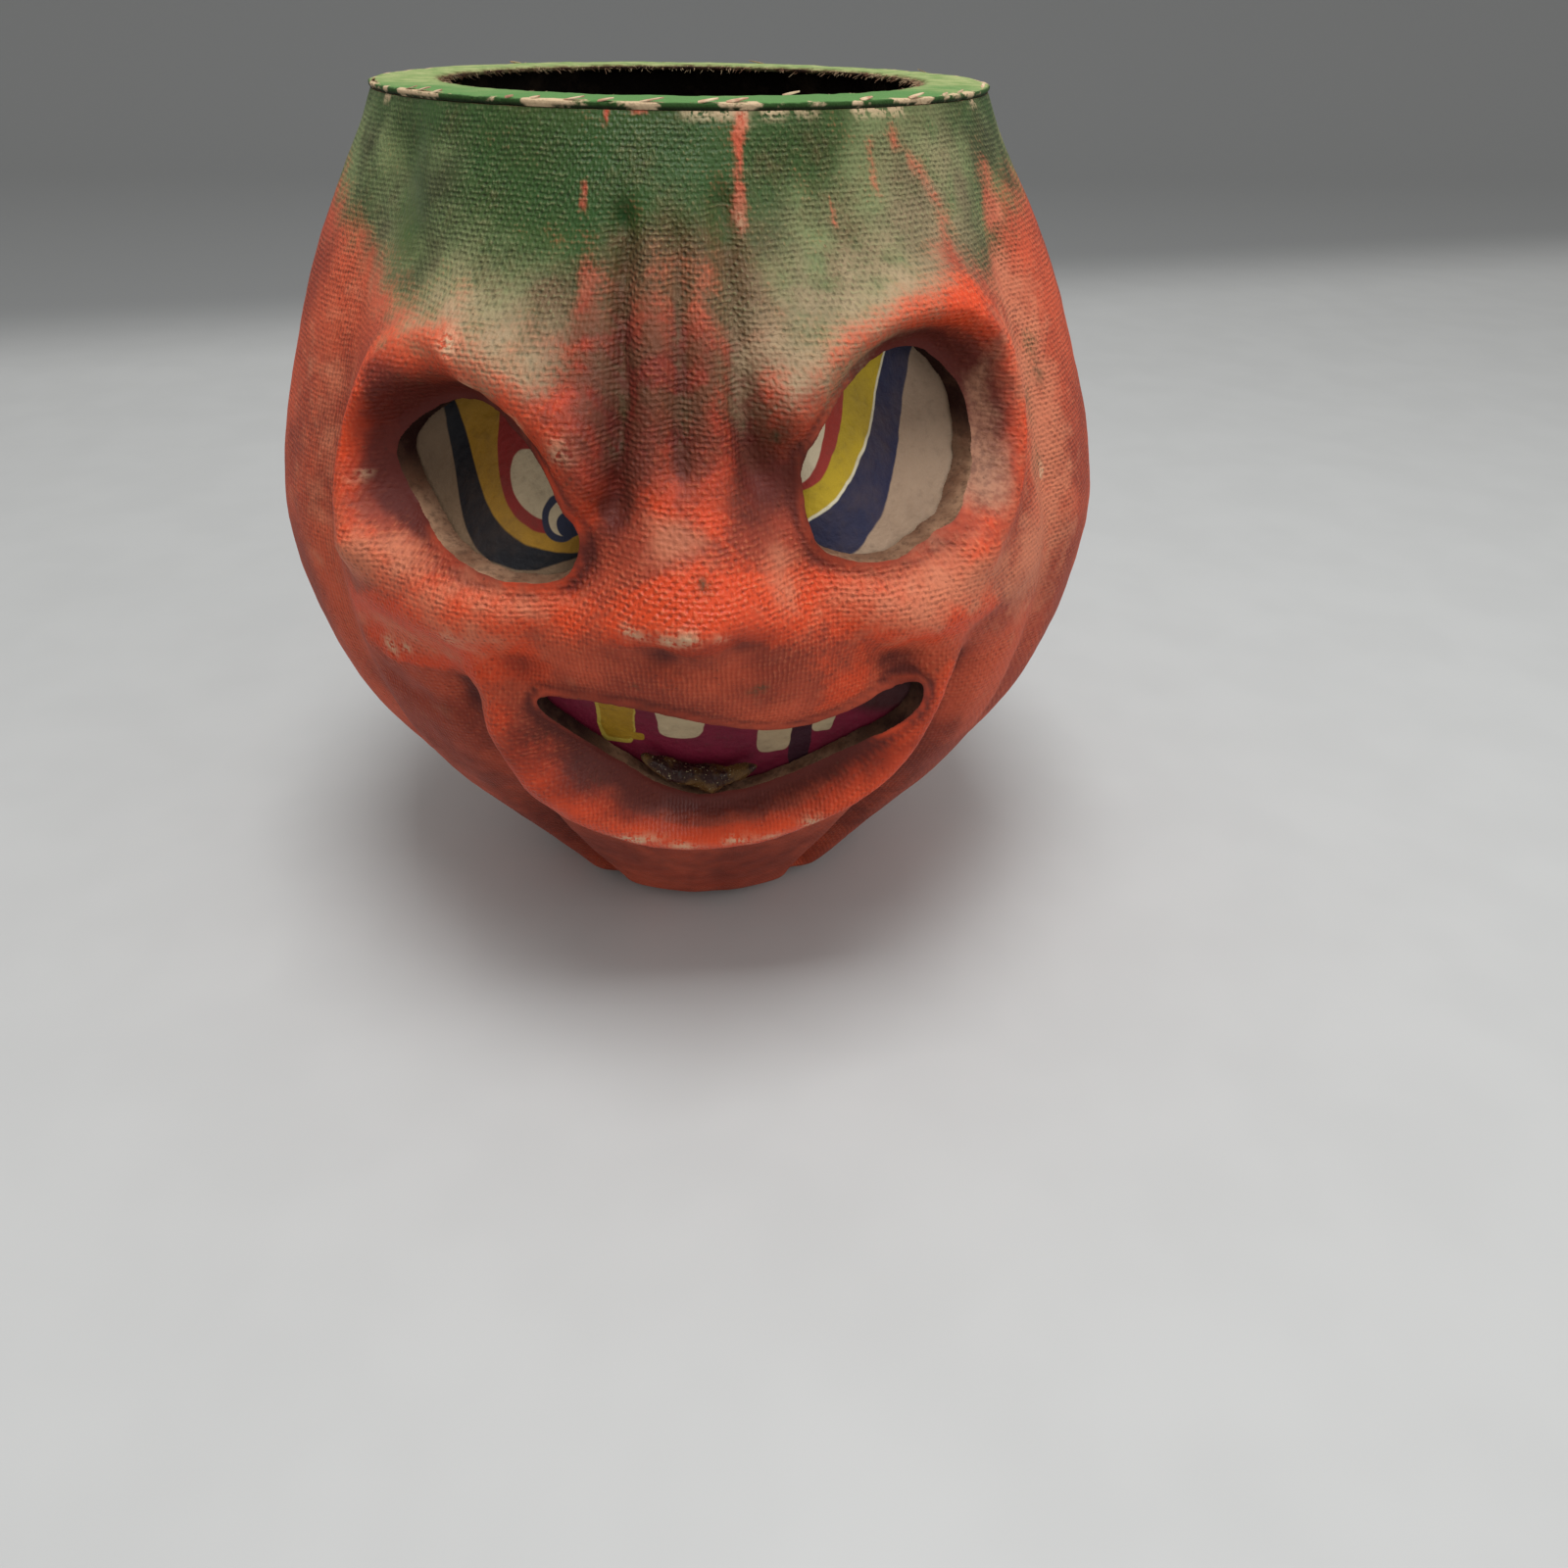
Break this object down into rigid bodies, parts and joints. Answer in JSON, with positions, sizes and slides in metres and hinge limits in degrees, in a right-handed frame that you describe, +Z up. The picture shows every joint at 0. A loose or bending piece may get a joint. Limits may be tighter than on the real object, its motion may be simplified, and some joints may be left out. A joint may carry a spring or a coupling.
{
  "type": "papier-mache jack-o-lantern",
  "caption": "Papier-mache pumpkin lantern with a moulded grinning face, cut-out eyes and mouth backed by printed paper, an open top with a card ring, and a candle cup inside",
  "frame": {"origin": "middle of the flat underside of the card disc that the lantern stands on", "axes": "+Z up through the open top, the face looks towards -Y, +X is on the right as one looks at the face"},
  "size_m": [0.1656, 0.1742, 0.162],
  "materials": {
    "painted_pulp": "pressed paper pulp with a screen imprint, thin orange-red paint with moss green over it near the top, worn",
    "green_card": "fibrous card with thin faded green paint, scorched at the inner edge",
    "plain_card": "bare grey-brown card, scuffed",
    "seam_paper": "brown paper tape, creased and sooty",
    "eye_paper": "thin aged paper printed with plain colour bands, matt",
    "mouth_paper": "thin aged paper printed maroon with plain teeth, matt",
    "set_glue": "old glue set hard, crackled and shiny",
    "tin": "thin pressed tin, dulled by soot",
    "eyelet_brass": "tarnished brass"
  },
  "bodies": {
    "root": {"front_shell": "painted_pulp", "rear_shell": "painted_pulp", "rim_ring": "green_card", "base_disc": "plain_card", "left_seam_strip": "seam_paper", "right_seam_strip": "seam_paper", "left_eye_slip": "eye_paper", "right_eye_slip": "eye_paper", "mouth_slip": "mouth_paper", "mouth_glue_bead": "set_glue", "candle_cup": "tin", "candle_cup_eyelet": "eyelet_brass"}
  },
  "joints": []
}
